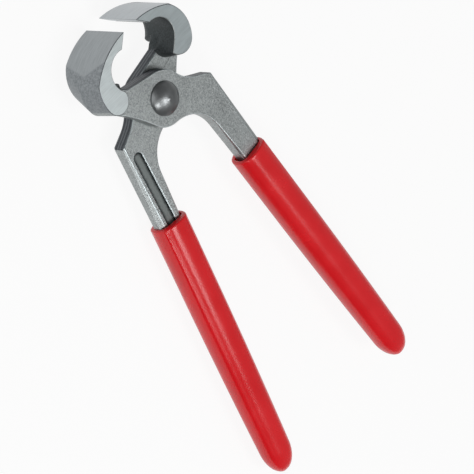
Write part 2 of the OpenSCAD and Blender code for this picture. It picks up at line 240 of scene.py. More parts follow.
def blasted_steel(settings):
    """Drop forged carbon steel, shot blasted to a satin grey with a fine speckle."""
    material, tree = new_material("shot_blasted_steel")
    place = add(tree, "ShaderNodeTexCoord")
    # Peened dimples, taken as a quarter of a millimetre across, are drawn 0.7 mm wide to show
    dimples = add(tree, "ShaderNodeTexNoise", values=grains(0.7, 4.0, 0.7),
                  links={"Vector": (place, "Object")})
    # The blast wanders over the face, so the grey drifts every centimetre or so
    drift = add(tree, "ShaderNodeTexNoise", values=grains(9, 3.0),
                links={"Vector": (place, "Object")})
    speckle = add(tree, "ShaderNodeValToRGB", links={"Fac": (dimples, "Fac")})
    set_stops(speckle, (0.34, settings.blasted_dark), (0.66, settings.blasted_light))
    tone = add(tree, "ShaderNodeMapRange", values=across_noise(0.93, 1.07),
               links={"Value": (drift, "Fac")})
    colour = add(tree, "ShaderNodeVectorMath", {"operation": "SCALE"},
                 links={0: (speckle, "Color"), "Scale": (tone, "Result")})
    rough = add(tree, "ShaderNodeMapRange", values=across_noise(0.4, 0.54),
                links={"Value": (dimples, "Fac")})
    shade(tree, dimples, 0.8, 0.1, {"Metallic": 1.0},
          {"Base Color": (colour, "Vector"), "Roughness": (rough, "Result")})
    return material


def ground_steel(name, colour_hex, roughness, direction):
    """Steel ground flat on a stone, which leaves fine parallel scratches that glint one way."""
    material, tree = new_material(name)
    place = add(tree, "ShaderNodeTexCoord")
    # Scratches, taken as a tenth of a millimetre wide, are drawn 0.3 mm wide to show
    turned = add(tree, "ShaderNodeMapping",
                 values={"Rotation": direction, "Scale": (1.0, 0.05, 1.0)},
                 links={"Vector": (place, "Object")})
    scratches = add(tree, "ShaderNodeTexNoise", values=grains(0.3, 2.0),
                    links={"Vector": (turned, "Vector")})
    patches = add(tree, "ShaderNodeTexNoise", values=grains(7, 2.0),
                  links={"Vector": (place, "Object")})
    tone = add(tree, "ShaderNodeMapRange", values=across_noise(0.9, 1.08, 0.25),
               links={"Value": (scratches, "Fac")})
    cloud = add(tree, "ShaderNodeMapRange", values=across_noise(0.96, 1.04),
                links={"Value": (patches, "Fac")})
    both = add(tree, "ShaderNodeMath", {"operation": "MULTIPLY"},
               links={0: (tone, "Result"), 1: (cloud, "Result")})
    colour = add(tree, "ShaderNodeVectorMath", {"operation": "SCALE"},
                 values={0: linear(colour_hex)[:3]}, links={"Scale": (both, "Value")})
    rough = add(tree, "ShaderNodeMapRange", values=across_noise(roughness - 0.05, roughness + 0.06),
                links={"Value": (scratches, "Fac")})
    shade(tree, scratches, 0.25, 0.02, {"Metallic": 1.0},
          {"Base Color": (colour, "Vector"), "Roughness": (rough, "Result")})
    return material


def scaled_steel(settings):
    """Black oxide scale left by the heat treatment where no wheel or blast reaches."""
    material, tree = new_material("black_oxide_scale")
    place = add(tree, "ShaderNodeTexCoord")
    # The crust's pits, taken as a few tenths of a millimetre across, are drawn 0.7 mm wide
    crust = add(tree, "ShaderNodeTexNoise", values=grains(0.7, 4.0, 0.65),
                links={"Vector": (place, "Object")})
    ramp = add(tree, "ShaderNodeValToRGB", links={"Fac": (crust, "Fac")})
    set_stops(ramp, (0.32, settings.scale_dark), (0.75, settings.scale_light))
    shade(tree, crust, 0.6, 0.08, {"Metallic": 0.75, "Roughness": 0.55},
          {"Base Color": (ramp, "Color")})
    return material


def jaw_outside_steel(settings, name, turn, dark, light):
    """Jaw's outside: belt ground near the cutting edge, as forged below a pointed boundary."""
    material, tree = new_material(name)
    half = forged_place(tree, turn)
    at = add(tree, "ShaderNodeSeparateXYZ", links={"Vector": (half, "Vector")})
    sides = [add(tree, "ShaderNodeMath", {"operation": "MULTIPLY_ADD"},
                 {1: slope, 2: -slope * BAND_POINT_Z * MM}, {0: (at, "Z")})
             for slope in BAND_SLOPES]
    drop = add(tree, "ShaderNodeMath", {"operation": "MAXIMUM"},
               links={0: (sides[0], "Value"), 1: (sides[1], "Value")})
    beyond = add(tree, "ShaderNodeMath", {"operation": "ADD"},
                 links={0: (at, "Y"), 1: (drop, "Value")})
    forged = add(tree, "ShaderNodeMapRange",
                 values={"From Min": BAND_ENDS[0] * MM, "From Max": BAND_ENDS[1] * MM},
                 links={"Value": (beyond, "Value")})
    # Belt scratches run round the jaw and are drawn 0.35 mm wide so that they show
    drawn = add(tree, "ShaderNodeMapping", values={"Scale": (0.06, 0.06, 1.0)},
                links={"Vector": (half, "Vector")})
    scratches = add(tree, "ShaderNodeTexNoise", values=grains(0.35, 2.0),
                    links={"Vector": (drawn, "Vector")})
    grain = add(tree, "ShaderNodeTexNoise", values=grains(0.9, 4.0, 0.7),
                links={"Vector": (half, "Vector")})
    ground = add(tree, "ShaderNodeValToRGB", links={"Fac": (scratches, "Fac")})
    set_stops(ground, (0.3, dark), (0.7, light))
    rough_forged = add(tree, "ShaderNodeValToRGB", links={"Fac": (grain, "Fac")})
    set_stops(rough_forged, (0.36, settings.forged_dark), (0.64, settings.forged_light))
    colour = add(tree, "ShaderNodeMix", {"data_type": "RGBA"},
                 links={"Factor": (forged, "Result"), "A": (ground, "Color"),
                        "B": (rough_forged, "Color")})
    rough = add(tree, "ShaderNodeMapRange", values={"To Min": 0.4, "To Max": 0.52},
                links={"Value": (forged, "Result")})
    shade(tree, grain, 0.5, 0.05, {"Metallic": 1.0},
          {"Base Color": (colour, "Result"), "Roughness": (rough, "Result")})
    return material


def shaded_trimmed_steel(settings, name, turn):
    """Painted shade on walls facing the jaws and on jaw edge lines, with long trim lines along
    them.
    """
    material, tree = new_material(name)
    half = forged_place(tree, turn)
    at = add(tree, "ShaderNodeSeparateXYZ", links={"Vector": (half, "Vector")})
    # The lines keep to the wall's height, and waver by up to 1.2 mm along it
    waver = add(tree, "ShaderNodeTexNoise", values=grains(5, 3.0),
                links={"Vector": (half, "Vector")})
    shift = add(tree, "ShaderNodeMath", {"operation": "MULTIPLY_ADD"}, {1: 1.2 * MM},
                {0: (waver, "Fac"), 2: (at, "Z")})
    level = add(tree, "ShaderNodeMapRange", values={"From Min": 0.6 * MM, "From Max": 7.2 * MM},
                links={"Value": (shift, "Value")})
    lines = add(tree, "ShaderNodeValToRGB", links={"Fac": (level, "Result")})
    dark, light = settings.shaded_trimmed_dark, settings.shaded_trimmed_light
    set_stops(lines, (0.0, light), (0.22, dark), (0.38, light), (0.48, dark), (0.62, light),
              (0.76, dark), (1.0, light))
    grain = add(tree, "ShaderNodeTexNoise", values=grains(0.8, 4.0, 0.7),
                links={"Vector": (half, "Vector")})
    tone = add(tree, "ShaderNodeMapRange", values=across_noise(0.8, 1.2, 0.15),
               links={"Value": (grain, "Fac")})
    colour = add(tree, "ShaderNodeVectorMath", {"operation": "SCALE"},
                 links={0: (lines, "Color"), "Scale": (tone, "Result")})
    shade(tree, grain, 0.6, 0.08, {"Metallic": 0.9, "Roughness": 0.5},
          {"Base Color": (colour, "Vector")})
    return material


def panel_steel(settings, name, turn):
    """Floor of the sunk panel, darkening to black towards the foot of its walls as painted shade.
    """
    material, tree = new_material(name)
    half = forged_place(tree, turn)
    from_end = add(tree, "ShaderNodeVectorMath", {"operation": "SUBTRACT"},
                   {1: (PANEL_END.x * MM, PANEL_END.y * MM, 0.0)}, {0: (half, "Vector")})
    at = add(tree, "ShaderNodeSeparateXYZ", links={"Vector": (from_end, "Vector")})
    aside = add(tree, "ShaderNodeMath", {"operation": "MULTIPLY_ADD"}, {1: PANEL_SLOPE},
                {0: (at, "X"), 2: (at, "Y")})
    past = add(tree, "ShaderNodeMath", {"operation": "MAXIMUM"}, {1: 0.0}, {0: (at, "X")})
    flat = add(tree, "ShaderNodeCombineXYZ", links={"X": (aside, "Value"), "Y": (past, "Value")})
    reach = add(tree, "ShaderNodeVectorMath", {"operation": "LENGTH"}, links={0: (flat, "Vector")})
    # The painted shade's edge is ragged by up to 1.6 mm
    grain = add(tree, "ShaderNodeTexNoise", values=grains(1.1, 4.0, 0.7),
                links={"Vector": (half, "Vector")})
    spread = add(tree, "ShaderNodeMath", {"operation": "MULTIPLY_ADD"}, {1: 1.6 * MM},
                 {0: (grain, "Fac"), 2: (reach, "Value")})
    # Painted shade: the floor turns to the scale's dark colour towards the panel's walls
    scale = add(tree, "ShaderNodeMapRange", values={"From Min": 1.7 * MM, "From Max": 2.9 * MM},
                links={"Value": (spread, "Value")})
    ramp = add(tree, "ShaderNodeValToRGB", links={"Fac": (scale, "Result")})
    set_stops(ramp, (0.0, settings.panel), (1.0, settings.scale_dark))
    shade(tree, grain, 0.8, 0.12, {"Metallic": 0.9, "Roughness": 0.55},
          {"Base Color": (ramp, "Color")})
    return material


def rivet_steel(settings):
    """Blackened steel wire headed cold and tumbled bright, so it mirrors softly."""
    material, tree = new_material("tumbled_black_steel")
    place = add(tree, "ShaderNodeTexCoord")
    # Tumbling's shallow dents are taken as 1.6 mm across, and the smudges as 3.5 mm
    dents = add(tree, "ShaderNodeTexNoise", values=grains(1.6, 2.0),
                links={"Vector": (place, "Object")})
    smudge = add(tree, "ShaderNodeTexNoise", values=grains(3.5, 3.0),
                 links={"Vector": (place, "Object")})
    tone = add(tree, "ShaderNodeMapRange", values=across_noise(0.88, 1.1),
               links={"Value": (smudge, "Fac")})
    colour = add(tree, "ShaderNodeVectorMath", {"operation": "SCALE"},
                 values={0: linear(settings.colour)[:3]}, links={"Scale": (tone, "Result")})
    rough = add(tree, "ShaderNodeMapRange", values=across_noise(0.3, 0.42),
                links={"Value": (smudge, "Fac")})
    shade(tree, dents, 0.2, 0.03, {"Metallic": 1.0},
          {"Base Color": (colour, "Vector"), "Roughness": (rough, "Result")})
    return material


def dipped_vinyl(settings):
    """PVC plastisol, dipped hot and cured, so it is glossy with a faint orange peel."""
    material, tree = new_material("dipped_vinyl")
    place = add(tree, "ShaderNodeTexCoord")
    # The peel's waves are taken as 2.6 mm long, and patches dulled by handling as 14 mm
    peel = add(tree, "ShaderNodeTexNoise", values=grains(2.6, 2.0),
               links={"Vector": (place, "Object")})
    handled = add(tree, "ShaderNodeTexNoise", values=grains(14, 3.0),
                  links={"Vector": (place, "Object")})
    ramp = add(tree, "ShaderNodeValToRGB", links={"Fac": (handled, "Fac")})
    set_stops(ramp, (0.3, settings.deep_red), (0.7, settings.bright_red))
    rough = add(tree, "ShaderNodeMapRange", values=across_noise(0.2, 0.28),
                links={"Value": (handled, "Fac")})
    shade(tree, peel, 0.1, 0.03, {"Metallic": 0.0, "IOR": 1.53},
          {"Base Color": (ramp, "Color"), "Roughness": (rough, "Result")})
    return material


def keep_object(name, mesh):
    """Puts a finished mesh in the scene as an object at the origin."""
    item = bpy.data.objects.new(name, mesh)
    bpy.context.scene.collection.objects.link(item)
    return item


def finished_copy(item, name):
    """Bakes an object's modifiers into a plain mesh and takes the working object away."""
    bpy.context.view_layer.update()
    evaluated = item.evaluated_get(bpy.context.evaluated_depsgraph_get())
    mesh = bpy.data.meshes.new_from_object(evaluated)
    mesh.name = name
    item.modifiers.clear()
    bpy.data.objects.remove(item)
    return keep_object(name, mesh)


class NIPPERS_PG_steel(bpy.types.PropertyGroup):
    # The rim of this width takes the bright ground finish: partly wear, partly painted highlight
    edge_round: bpy.props.FloatProperty(
        name="Edge rounding", description="Width of the round that the blast leaves on edges",
        default=0.5 * MM, min=0.0, max=1.5 * MM, subtype="DISTANCE", unit="LENGTH")
    # The line of this width is painted dark as shade
    shade_line: bpy.props.FloatProperty(
        name="Dark line", description="Width of the line between a jaw's ground side and its outside",
        default=0.28 * MM, min=0.0, max=0.6 * MM, subtype="DISTANCE", unit="LENGTH")
    blasted_light: bpy.props.StringProperty(
        name="Blasted, light", default="#BDC2C2",
        description="Bright grains of the blasted steel, sRGB hex")
    blasted_dark: bpy.props.StringProperty(
        name="Blasted, dark", default="#848989",
        description="Dark grains of the blasted steel, sRGB hex")
    # The rear side is darker grey than the front as painted reflection; both are the same ground
    # finish
    front_side: bpy.props.StringProperty(
        name="Front ground side", default="#CBD3D4",
        description="Flat ground side of the front jaw and worn edges of its half, sRGB hex")
    rear_side: bpy.props.StringProperty(
        name="Rear ground side", default="#B1BABC",
        description="Flat ground side of the rear jaw and worn edges of its half, sRGB hex")
    # The rear outside's colours are lighter than the front's as painted reflection
    front_outside_light: bpy.props.StringProperty(
        name="Front outside, light", default="#A0A5A8",
        description="Bright scratches on the front jaw, sRGB hex")
    front_outside_dark: bpy.props.StringProperty(
        name="Front outside, dark", default="#909597",
        description="Dark scratches on the front jaw, sRGB hex")
    rear_outside_light: bpy.props.StringProperty(
        name="Rear outside, light", default="#BCC1C4",
        description="Bright scratches on the rear jaw, sRGB hex")
    rear_outside_dark: bpy.props.StringProperty(
        name="Rear outside, dark", default="#ACB1B4",
        description="Dark scratches on the rear jaw, sRGB hex")
    forged_light: bpy.props.StringProperty(
        name="Forged outside, light", default="#9BA0A3",
        description="Bright grains below the ground band, sRGB hex")
    forged_dark: bpy.props.StringProperty(
        name="Forged outside, dark", default="#7C8184",
        description="Dark grains below the ground band, sRGB hex")
    # Both trimmed colours are dark as painted shade on walls facing the jaws and on jaw edge lines
    shaded_trimmed_light: bpy.props.StringProperty(
        name="Trimmed, light", default="#6E7276",
        description="Light lines on the trimmed walls, sRGB hex")
    shaded_trimmed_dark: bpy.props.StringProperty(
        name="Trimmed, dark", default="#383B3F",
        description="Dark lines on the trimmed walls, sRGB hex")
    panel: bpy.props.StringProperty(
        name="Panel", description="Floor of the sunk panel, sRGB hex", default="#808685")
    scale_light: bpy.props.StringProperty(
        name="Scale, light", default="#51585A",
        description="Rubbed parts of the black scale, sRGB hex")
    scale_dark: bpy.props.StringProperty(
        name="Scale, dark", default="#2E3334",
        description="Black scale inside the jaws, sRGB hex")


class NIPPERS_PG_rivet(bpy.types.PropertyGroup):
    colour: bpy.props.StringProperty(
        name="Colour", description="Tumbled black steel, sRGB hex", default="#858889")
    segments: bpy.props.IntProperty(
        name="Segments", description="Facets round the rivet", default=96, min=16, max=256)


class NIPPERS_PG_grip(bpy.types.PropertyGroup):
    deep_red: bpy.props.StringProperty(
        name="Deep red", description="Darker red of the vinyl, sRGB hex", default="#DE0C17")
    bright_red: bpy.props.StringProperty(
        name="Bright red", description="Lighter red of the vinyl, sRGB hex", default="#E7111C")
    mouth_width: bpy.props.FloatProperty(
        name="Width at mouth", description="Width of the grip at its mouth",
        default=GRIP_MOUTH_W * MM, subtype="DISTANCE", unit="LENGTH")
    full_width: bpy.props.FloatProperty(
        name="Full width", description="Width of the grip at its fullest",
        default=GRIP_W * MM, subtype="DISTANCE", unit="LENGTH")
    end_width: bpy.props.FloatProperty(
        name="Width at end", description="Width where the round end starts",
        default=GRIP_END_W * MM, subtype="DISTANCE", unit="LENGTH")
    thickness_share: bpy.props.FloatProperty(
        name="Thickness share", description="Thickness of the grip over its width",
        default=GRIP_THICKNESS_SHARE, min=0.5, max=1.2)
    ridge: bpy.props.FloatProperty(
        name="Ridge", description="Height of the soft ridges that the lever's bevels leave",
        default=RIDGE * MM, subtype="DISTANCE", unit="LENGTH")


class NIPPERS_PG_stage(bpy.types.PropertyGroup):
    floor_colour: bpy.props.StringProperty(
        name="Floor colour", description="Pale paper floor, sRGB hex", default="#F4F4F4")
    lens: bpy.props.FloatProperty(
        name="Lens", description="Focal length on a 36 mm sensor", default=218.96563,
        unit="CAMERA")
    sky_front: bpy.props.FloatProperty(
        name="Studio, front", description="Level of the plain light on the camera's side",
        default=0.16, min=0.0, max=2.0)
    sky_behind: bpy.props.FloatProperty(
        name="Studio, behind", description="Level of the plain light behind the tool",
        default=0.5, min=0.0, max=2.0)


# Places of the finishes among the materials of a half
BLASTED, GROUND_SIDE, OUTSIDE, SCALE, SHADED_TRIMMED, PANEL = range(6)


def finish_of(centre, normal):
    """Finish of a face of the forging, from where it lies and which way it looks."""
    # The numbers that a normal, a lift or inward is held against are cosines
    share = (centre.z + JAW_HALF_WIDTH) / (2 * JAW_HALF_WIDTH)
    hollow_centre = FAR_HOLLOW[0].lerp(NEAR_HOLLOW[0], share)
    hollow_r = FAR_HOLLOW[1] + (NEAR_HOLLOW[1] - FAR_HOLLOW[1]) * share
    across = Vector((centre.x, centre.y))
    off_wall = abs((across - hollow_centre).length - hollow_r)
    off_ground = abs((across - GROUND_CENTRE).length - GROUND_R)
    aside = centre.y - PANEL_END.y + PANEL_SLOPE * (centre.x - PANEL_END.x)
    inward = (hollow_centre - across).normalized().dot(Vector((normal.x, normal.y)))
    lift = abs(normal.z)
    if abs(centre.z) > JAW_HALF_WIDTH - ON_FACE and lift > 0.9:
        return GROUND_SIDE
    # The hollow's wall, the jaw's round outside and the inner bevel of its cutting edge
    if off_wall < ON_WALL and lift < 0.4 and centre.x > HOLLOW_FROM:
        return SCALE
    if centre.x > OUTSIDE_FROM and off_ground < ON_GROUND:
        return OUTSIDE
    if centre.x > EDGE_FROM and normal.y < -0.5 and normal.x < 0.2:
        return OUTSIDE
    # The rest of the jaw's inside and outside, and the foot of the hollow at its root
    if centre.x > INSIDE_FROM and centre.y > MOUTH_ASIDE and lift < 0.95 and inward > 0.3:
        return SCALE
    if centre.x > OUTSIDE_FROM and centre.y > 0 and lift < 0.6 and inward < -0.3:
        return OUTSIDE
    if (ROOT_FROM < centre.x < NECK_TO and centre.y > MOUTH_ASIDE and centre.z < 0
            and normal.y < -0.6 and lift < 0.3):
        return SCALE
    if (centre.x < PANEL_FROM and abs(aside) < PANEL_HALF_WIDTH + ON_PANEL
            and ON_PANEL < centre.z < PANEL_FLOOR + ON_PANEL):
        return PANEL
    # Walls that face the jaws near the neck take the dark trimmed finish, painted shade
    if centre.x < NECK_TO and lift < 0.3 and normal.x > 0.3:
        return SHADED_TRIMMED
    return BLASTED


def soften_rim(work, back, height, width, drop, plain, beside):
    """Takes the corner off a flat face's outline, with a finish for what lies beside it."""
    on_height = 0.02
    looks_flat = 0.999
    longest_inset = 1.4 * width
    shortest_side = 0.02 * MM
    turn = back.to_3x3()
    flat = [face for face in work.faces if abs((turn @ face.normal).z) > looks_flat
            and abs((back @ face.calc_center_median() / MM).z - height) < on_height]
    down = -flat[0].normal * drop
    ring = bmesh.ops.inset_region(work, faces=flat, thickness=width, use_even_offset=True,
                                  use_boundary=True)["faces"]
    work.normal_update()
    top = set(flat).union(ring)
    outline = {}
    for face in ring:
        face.material_index = plain
        face.smooth = True
        for edge in face.edges:
            walls = [other for other in edge.link_faces if other not in top]
            if walls:
                outline[face] = edge
                if edge.is_convex:
                    face.material_index = beside.get(walls[0].material_index, plain)
    rim = {vert for edge in outline.values() for vert in edge.verts}
    kept = {vert for edge in outline.values() for vert in edge.verts if not edge.is_convex}

    # A sharp corner would throw its inner point far away, and a short side would turn over
    for vert in rim:
        for edge in vert.link_edges:
            inner = edge.other_vert(vert)
            step = inner.co - vert.co
            if (inner not in rim and top.issuperset(edge.link_faces)
                    and step.length > longest_inset):
                inner.co = vert.co + step * (longest_inset / step.length)
    for face, edge in outline.items():
        first, second = edge.verts
        pair = [next((side.other_vert(vert) for side in vert.link_edges
                      if side is not edge and side in face.edges), None)
                for vert in (first, second)]
        along = (first.co - second.co).normalized()
        if pair[0] is not pair[1] and (pair[0].co - pair[1].co).dot(along) < shortest_side:
            middle = (pair[0].co + pair[1].co) / 2
            pair[0].co = middle + along * shortest_side
            pair[1].co = middle - along * shortest_side
    for vert in rim - kept:
        vert.co += down
    work.normal_update()
    return ring


def dressed_forging(name, node, place, materials, edge_round, shade_line):
    """Copy of a forged half with softened edges and a finish for each face."""
    mesh = bpy.data.meshes.new(name + "_work")
    work = bmesh.new()
    work.from_mesh(frame["nodes"][node].data)
    bmesh.ops.remove_doubles(work, verts=work.verts, dist=WELD)
    bmesh.ops.dissolve_limit(work, angle_limit=SAME_PLANE, verts=work.verts, edges=work.edges,
                             use_dissolve_boundaries=False)
    back = place.inverted()
    turn = back.to_3x3()
    for face in work.faces:
        centre = back @ face.calc_center_median() / MM
        face.material_index = finish_of(centre, turn @ face.normal)
        face.smooth = True

    # Plates' rims are bright, partly wear and partly painted highlight; a painted shade line parts
    # a jaw's side from its outside
    soft = set()
    for height in (LAP_FACE, PLATE_T):
        soft.update(soften_rim(work, back, height, edge_round, PLATE_RIM_DROP * edge_round,
                               GROUND_SIDE, {}))
    for height in (-JAW_HALF_WIDTH, JAW_HALF_WIDTH):
        soften_rim(work, back, height, shade_line, SHADE_LINE_DROP * shade_line, GROUND_SIDE,
                   {OUTSIDE: SHADED_TRIMMED, BLASTED: SHADED_TRIMMED, SCALE: BLASTED})
    for edge in work.edges:
        finishes = {face.material_index for face in edge.link_faces}
        edge.smooth = (edge.calc_face_angle(0) < FORGED_CREASE and len(finishes) == 1
                       or not soft.isdisjoint(edge.link_faces))
    work.to_mesh(mesh)
    work.free()
    for material in materials:
        mesh.materials.append(material)
    item = keep_object(name + "_work", mesh)
    shading = item.modifiers.new("shading", "WEIGHTED_NORMAL")
    shading.keep_sharp = True
    return finished_copy(item, name)


class NIPPERS_OT_halves(bpy.types.Operator):
    """Dress both forged halves with rounded edges and their blasted and ground finishes"""
    bl_idname = "nippers.halves"
    bl_label = "Forged Halves"

    def execute(self, context):
        steel = context.scene.nippers_steel
        blasted = blasted_steel(steel)
        scale = scaled_steel(steel)
        # The two halves' side and outside colours differ as painted reflection
        for half, node, place, turn, side_colour, outside in (
                ("front", "front_lever", FRONT_PLACE, FRONT_TURN, steel.front_side,
                 (steel.front_outside_dark, steel.front_outside_light)),
                ("rear", "rear_lever", REAR_PLACE, REAR_TURN, steel.rear_side,
                 (steel.rear_outside_dark, steel.rear_outside_light))):
            side = ground_steel(half + "_stone_ground_steel", side_colour, 0.42, (0.0, 0.0, 0.6))
            materials = [blasted, side,
                         jaw_outside_steel(steel, half + "_belt_ground_steel", turn, *outside),
                         scale,
                         shaded_trimmed_steel(steel, half + "_shaded_trimmed_steel", turn),
                         panel_steel(steel, half + "_wall_shaded_panel_steel", turn)]
            forging = dressed_forging(half + "_forging", node, place, materials,
                                      steel.edge_round, steel.shade_line)
            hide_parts(node)
            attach(forging, half + "_half")
        return {"FINISHED"}


def dome_line(radius, height, steps):
    """Points of a dome's side from its top to its rim, as pairs of radius and height."""
    ball = (radius ** 2 + height ** 2) / (2 * height)
    last = math.asin(radius / ball)
    return [(ball * math.sin(last * i / steps), height - ball + ball * math.cos(last * i / steps))
            for i in range(steps + 1)]


def rivet_line():
    """Radius and height of each ring of the rivet, from its soft nib down to the tail."""
    rim_z = HEAD_Z + HEAD_RIM
    dome = [(r, rim_z + z + NIB_HEIGHT * math.exp(-(r / NIB_R) ** 2))
            for r, z in dome_line(HEAD_R, HEAD_DOME, 40) if r < HEAD_R - RIM_WIDTH]
    corner = [(HEAD_R - RIM_ROUND + RIM_ROUND * math.sin(math.radians(angle)),
               rim_z - RIM_DROP + RIM_ROUND * math.cos(math.radians(angle)))
              for angle in RIM_ANGLES]
    under = [(HEAD_R, HEAD_Z + RIM_CHAMFER), (HEAD_R - RIM_CHAMFER, HEAD_Z), (SHANK_R, HEAD_Z),
             (SHANK_R, -PLATE_T), (TAIL_R, -PLATE_T)]
    tail = [(r, -PLATE_T - z) for r, z in reversed(dome_line(TAIL_R, TAIL_DOME, 16)[:-1])]
    return dome + corner + under + tail


class NIPPERS_OT_rivet(bpy.types.Operator):
    """Turn the domed rivet with its nib, rim and headed-over end"""
    bl_idname = "nippers.rivet"
    bl_label = "Domed Rivet"

    def execute(self, context):
        settings = context.scene.nippers_rivet
        count = settings.segments
        work = bmesh.new()
        rings = []
        for radius, height in rivet_line():
            angles = [2 * math.pi * k / count for k in range(count if radius > 0.001 else 1)]
            rings.append([work.verts.new(PIVOT + Vector(
                (radius * math.cos(angle), radius * math.sin(angle), height)) * MM)
                for angle in angles])
        for upper, lower in zip(rings, rings[1:]):
            for k in range(count):
                corners = [upper[k % len(upper)], lower[k % len(lower)],
                           lower[(k + 1) % len(lower)], upper[(k + 1) % len(upper)]]
                work.faces.new(list(dict.fromkeys(corners)))
        bmesh.ops.recalc_face_normals(work, faces=work.faces)
        for face in work.faces:
            face.smooth = True
        for edge in work.edges:
            edge.smooth = edge.calc_face_angle(0) < RIVET_CREASE
        mesh = bpy.data.meshes.new("rivet")
        work.to_mesh(mesh)
        work.free()
        mesh.materials.append(rivet_steel(settings))
        rivet = keep_object("rivet", mesh)
        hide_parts("pivot_rivet")
        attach(rivet, "rear_half")
        return {"FINISHED"}


# The sleeve's rule, one node a line: its name, what it reckons and from what. A RANGE tells how
# far its first part has come from the second to the third, and a MIX goes by its first part.
# Names with capitals are the group's inputs. The unit tube gives "along", "side" and "rise".
SLEEVE_RULE = (
    # The tube runs from the gap's floor to the mouth, over the lip, along the body and round
    # the end
    ("run", "ADD", "along", 0.5),
    ("out of gap", "RANGE", "run", 0.0, GAP_RUN),
    ("over face", "RANGE", "run", GAP_RUN, FACE_RUN),
    ("over lip", "RANGE", "run", FACE_RUN, LIP_RUN),
    ("down body", "RANGE", "run", LIP_RUN, BODY_RUN),
    ("round end", "RANGE", "run", BODY_RUN, 1.0),
    ("lip angle", "MULTIPLY", "over lip", math.pi / 2),
    ("end angle", "MULTIPLY", "round end", math.pi / 2),
    ("dome start", "SUBTRACT", "Length", "Round End"),
    ("body length", "SUBTRACT", "dome start", "Lip"),
    ("still in gap", "SUBTRACT", 1.0, "out of gap"),
    ("lip cosine", "COSINE", "lip angle"),
    ("lip turned", "SUBTRACT", 1.0, "lip cosine"),
    ("end sine", "SINE", "end angle"),
    ("depth in gap", "MULTIPLY", "Gap Depth", "still in gap"),
    ("depth at lip", "MULTIPLY_ADD", "Lip", "lip turned", "depth in gap"),
    ("depth on body", "MULTIPLY_ADD", "body length", "down body", "depth at lip"),
    ("depth", "MULTIPLY_ADD", "Round End", "end sine", "depth on body"),

    # The sleeve is fullest a little behind the mouth and then thins more and more to its end
    ("swell", "RANGE", "depth", 0.0, "Taper Start"),
    ("thinning", "RANGE", "depth", "Taper Start", "dome start"),
    ("taper", "POWER", "thinning", 2.0),
    ("swollen width", "MIX", "swell", "Mouth Width", "Full Width"),
    ("width lost", "SUBTRACT", "End Width", "Full Width"),
    ("width", "MULTIPLY_ADD", "width lost", "taper", "swollen width"),
    ("thickness", "MULTIPLY", "width", "Thickness Share"),
    ("shut", "COSINE", "end angle"),
    ("half shut", "MULTIPLY", "shut", 0.5),
    ("full half width", "MULTIPLY", "width", "half shut"),
    ("full half thickness", "MULTIPLY", "thickness", "half shut"),
    ("lip sine", "SINE", "lip angle"),
    ("lip cut", "SUBTRACT", "lip sine", 1.0),
    ("outer half width", "MULTIPLY_ADD", "Lip Side", "lip cut", "full half width"),
    ("outer half thickness", "MULTIPLY_ADD", "Lip Top", "lip cut", "full half thickness"),
    ("inner half width", "MULTIPLY", "Inner Width", 0.5),
    ("inner half thickness", "MULTIPLY", "Inner Thickness", 0.5),
    ("half width", "MIX", "over face", "inner half width", "outer half width"),
    ("half thickness", "MIX", "over face", "inner half thickness", "outer half thickness"),

    # A squarish round section, and a nearly square one inside the mouth
    ("outer power", "DIVIDE", 2.0, "Section Power"),
    ("power", "MIX", "over face", MOUTH_POWER, "outer power"),
    ("side sign", "SIGN", "side"),
    ("side size", "ABSOLUTE", "side"),
    ("side bent", "POWER", "side size", "power"),
    ("across", "MULTIPLY", "side sign", "side bent"),
    ("rise sign", "SIGN", "rise"),
    ("rise size", "ABSOLUTE", "rise"),
    ("rise bent", "POWER", "rise size", "power"),
    ("upward", "MULTIPLY", "rise sign", "rise bent"),

    # The vinyl draws tight over the lever's bevels, which leaves a soft ridge on each face
    ("ridge cosine", "COSINE", "Ridge Angle"),
    ("ridge sine", "SINE", "Ridge Angle"),
    ("towards side", "MULTIPLY", "side", "ridge cosine"),
    ("towards ridge", "MULTIPLY_ADD", "rise size", "ridge sine", "towards side"),
    ("off crest", "SUBTRACT", "towards ridge", 1.0),
    ("crest power", "DIVIDE", "off crest", RIDGE_SPREAD),
    ("crest", "EXPONENT", "crest power"),
    ("minus depth", "MULTIPLY", "depth", -1.0),
    ("fade power", "DIVIDE", "minus depth", "Ridge Fade"),
    ("fade", "EXPONENT", "fade power"),
    ("crest height", "MULTIPLY", "Ridge", "crest"),
    ("faded height", "MULTIPLY", "crest height", "fade"),
    ("ridge share", "MULTIPLY", "over lip", "shut"),
    ("ridge", "MULTIPLY", "faded height", "ridge share"),

    # The centre line leans outwards, and the levers' own axes run towards the jaws
    ("ridge aside", "MULTIPLY", "ridge", "side"),
    ("aside", "MULTIPLY_ADD", "half width", "across", "ridge aside"),
    ("lean share", "DIVIDE", "depth", "Length"),
    ("centre", "MULTIPLY_ADD", "Lean", "lean share", "Offset"),
    ("y", "SUBTRACT", "aside", "centre"),
    ("ridge up", "MULTIPLY", "ridge", "rise"),
    ("up", "MULTIPLY_ADD", "half thickness", "upward", "ridge up"),
    ("z", "SUBTRACT", "Centre Height", "up"),
    ("reach", "ADD", "Mouth Reach", "depth"),
    ("x", "MULTIPLY", "reach", -1.0),
)
RULE_NODES = {"RANGE": ("ShaderNodeMapRange", ("Value", "From Min", "From Max")),
              "MIX": ("ShaderNodeMix", ("Factor", "A", "B"))}

